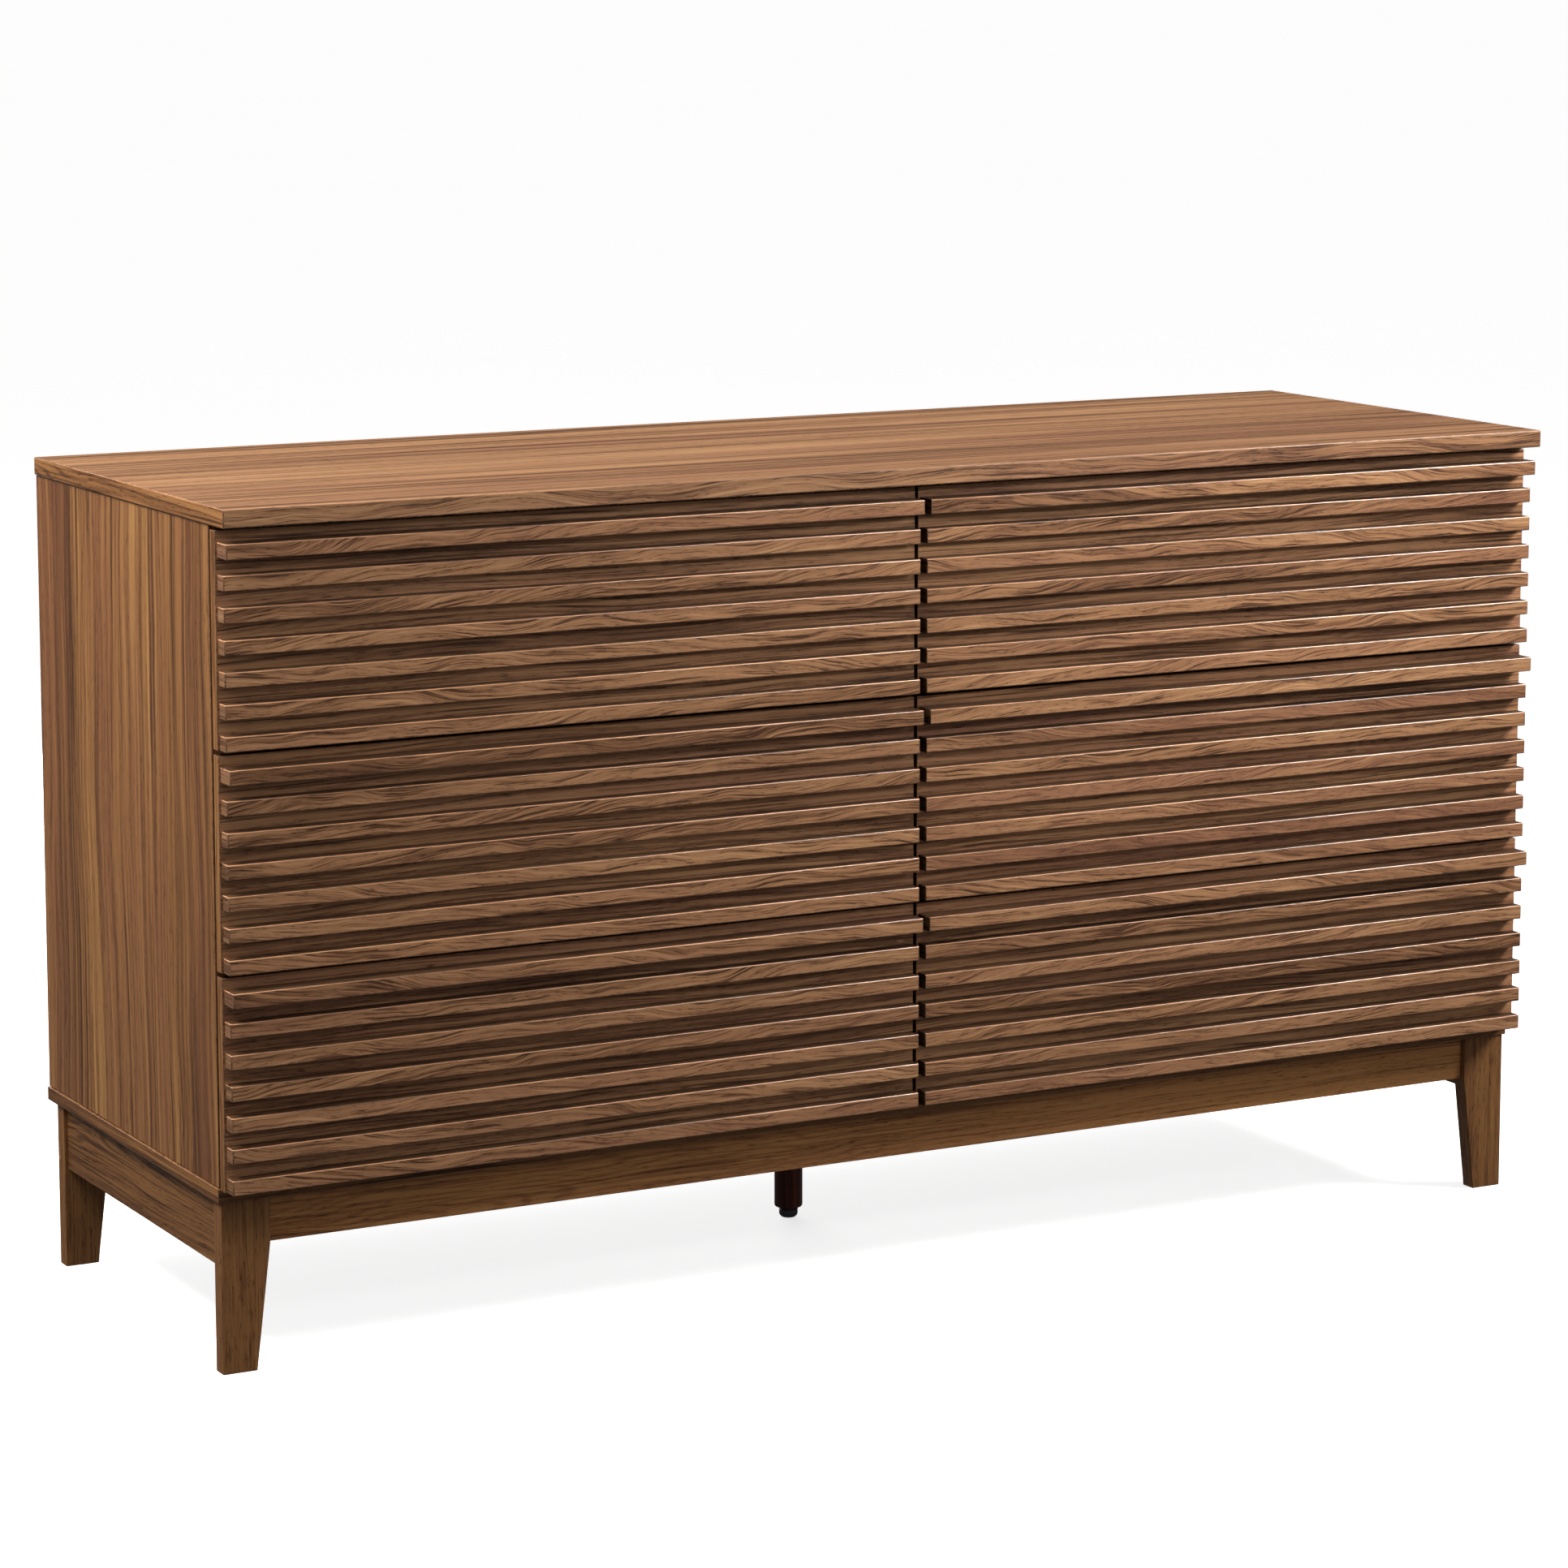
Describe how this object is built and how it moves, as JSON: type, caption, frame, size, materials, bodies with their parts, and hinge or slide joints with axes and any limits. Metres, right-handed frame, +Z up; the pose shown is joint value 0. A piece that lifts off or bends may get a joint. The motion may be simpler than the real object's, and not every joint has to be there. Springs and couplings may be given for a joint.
{
  "type": "sideboard",
  "caption": "Low walnut-finish sideboard with slatted-front drawers side by side on metal slides, standing on a tapered-leg frame with a center support leg.",
  "frame": {"origin": "on the floor, under the middle of the cabinet's width and of its depth", "axes": "+X along the cabinet's length to the right of someone facing the drawers, -Y out of the drawer fronts, +Z up"},
  "size_m": [1.5, 0.51, 0.833],
  "materials": {
    "walnut_top": "satin walnut-grain laminate, grain along the length",
    "walnut_case": "satin walnut-grain laminate",
    "walnut_front": "satin walnut-grain laminate with open-pore texture, grain along the slats",
    "walnut_base": "satin walnut-grain laminate",
    "drawer_board": "matt walnut-print foil",
    "hardboard": "printed hardboard, matt",
    "stained_wood": "red-brown stained solid wood, semi-gloss",
    "slide_steel": "zinc-plated, satin",
    "black_steel": "black powder coat",
    "black_plastic": "moulded, matt"
  },
  "bodies": {
    "cabinet": {"top_panel": "walnut_top", "left_side_panel": "walnut_case", "right_side_panel": "walnut_case", "center_divider": "walnut_case", "bottom_panel": "walnut_case", "left_back_panel": "hardboard", "right_back_panel": "hardboard", "front_left_leg": "walnut_base", "front_right_leg": "walnut_base", "back_left_leg": "walnut_base", "back_right_leg": "walnut_base", "front_apron": "walnut_base", "back_apron": "walnut_base", "left_apron": "walnut_base", "right_apron": "walnut_base", "center_leg_plate": "black_steel", "center_leg": "stained_wood", "center_leg_glide": "black_plastic", "lower_left_drawer_left_rail": "slide_steel", "lower_left_drawer_right_rail": "slide_steel", "lower_right_drawer_left_rail": "slide_steel", "lower_right_drawer_right_rail": "slide_steel", "middle_left_drawer_left_rail": "slide_steel", "middle_left_drawer_right_rail": "slide_steel", "middle_right_drawer_left_rail": "slide_steel", "middle_right_drawer_right_rail": "slide_steel", "upper_left_drawer_left_rail": "slide_steel", "upper_left_drawer_right_rail": "slide_steel", "upper_right_drawer_left_rail": "slide_steel", "upper_right_drawer_right_rail": "slide_steel"},
    "lower_left_drawer": {"lower_left_drawer_front": "walnut_front", "lower_left_drawer_box": "drawer_board", "lower_left_drawer_bottom": "hardboard", "lower_left_drawer_left_runner": "slide_steel", "lower_left_drawer_right_runner": "slide_steel"},
    "lower_right_drawer": {"lower_right_drawer_front": "walnut_front", "lower_right_drawer_box": "drawer_board", "lower_right_drawer_bottom": "hardboard", "lower_right_drawer_left_runner": "slide_steel", "lower_right_drawer_right_runner": "slide_steel"},
    "middle_left_drawer": {"middle_left_drawer_front": "walnut_front", "middle_left_drawer_box": "drawer_board", "middle_left_drawer_bottom": "hardboard", "middle_left_drawer_left_runner": "slide_steel", "middle_left_drawer_right_runner": "slide_steel"},
    "middle_right_drawer": {"middle_right_drawer_front": "walnut_front", "middle_right_drawer_box": "drawer_board", "middle_right_drawer_bottom": "hardboard", "middle_right_drawer_left_runner": "slide_steel", "middle_right_drawer_right_runner": "slide_steel"},
    "upper_left_drawer": {"upper_left_drawer_front": "walnut_front", "upper_left_drawer_box": "drawer_board", "upper_left_drawer_bottom": "hardboard", "upper_left_drawer_left_runner": "slide_steel", "upper_left_drawer_right_runner": "slide_steel"},
    "upper_right_drawer": {"upper_right_drawer_front": "walnut_front", "upper_right_drawer_box": "drawer_board", "upper_right_drawer_bottom": "hardboard", "upper_right_drawer_left_runner": "slide_steel", "upper_right_drawer_right_runner": "slide_steel"}
  },
  "joints": [
    {"name": "lower_left_drawer_slide", "type": "slide", "parent": "cabinet", "child": "lower_left_drawer", "axis": [0, -1, 0], "range_m": [0, 0.3]},
    {"name": "lower_right_drawer_slide", "type": "slide", "parent": "cabinet", "child": "lower_right_drawer", "axis": [0, -1, 0], "range_m": [0, 0.3]},
    {"name": "middle_left_drawer_slide", "type": "slide", "parent": "cabinet", "child": "middle_left_drawer", "axis": [0, -1, 0], "range_m": [0, 0.3]},
    {"name": "middle_right_drawer_slide", "type": "slide", "parent": "cabinet", "child": "middle_right_drawer", "axis": [0, -1, 0], "range_m": [0, 0.3]},
    {"name": "upper_left_drawer_slide", "type": "slide", "parent": "cabinet", "child": "upper_left_drawer", "axis": [0, -1, 0], "range_m": [0, 0.3]},
    {"name": "upper_right_drawer_slide", "type": "slide", "parent": "cabinet", "child": "upper_right_drawer", "axis": [0, -1, 0], "range_m": [0, 0.3]}
  ]
}
